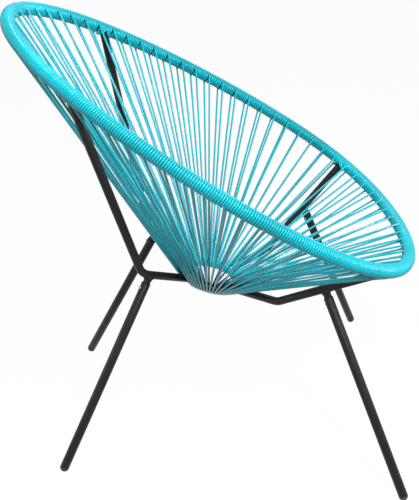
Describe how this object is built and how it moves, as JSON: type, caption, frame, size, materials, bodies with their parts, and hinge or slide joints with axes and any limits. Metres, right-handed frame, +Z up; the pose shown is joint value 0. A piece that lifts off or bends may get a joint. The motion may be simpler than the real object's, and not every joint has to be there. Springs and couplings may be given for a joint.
{
  "type": "acapulco chair",
  "caption": "Lounge chair with an egg-shaped hoop wound with plastic cord and strung to a small ring under the seat, on bent steel arms and plug-in legs.",
  "frame": {"origin": "on the floor, under the middle of the chair's box", "axes": "+Z up; the sitter faces -Y, so +X is the sitter's left"},
  "size_m": [0.7456, 0.7653, 0.8654],
  "materials": {
    "steel": "matte",
    "cord": "gloss",
    "foot_cap": "matte",
    "screw": "satin"
  },
  "bodies": {
    "root": {"rim_tube": "steel", "seat_ring": "steel", "arm_front_left": "steel", "arm_front_right": "steel", "arm_rear_left": "steel", "arm_rear_right": "steel", "spigot_front_left": "steel", "leg_front_left": "steel", "foot_cap_front_left": "foot_cap", "leg_screw_front_left": "screw", "spigot_front_right": "steel", "leg_front_right": "steel", "foot_cap_front_right": "foot_cap", "leg_screw_front_right": "screw", "spigot_rear_left": "steel", "leg_rear_left": "steel", "foot_cap_rear_left": "foot_cap", "leg_screw_rear_left": "screw", "spigot_rear_right": "steel", "leg_rear_right": "steel", "foot_cap_rear_right": "foot_cap", "leg_screw_rear_right": "screw", "cord_front_1": "cord", "cord_front_2": "cord", "cord_front_3": "cord", "cord_front_4": "cord", "cord_left_1": "cord", "cord_left_2": "cord", "cord_left_3": "cord", "cord_left_4": "cord", "cord_back_1": "cord", "cord_back_2": "cord", "cord_back_3": "cord", "cord_back_4": "cord", "cord_right_1": "cord", "cord_right_2": "cord", "cord_right_3": "cord", "cord_right_4": "cord"}
  },
  "joints": []
}
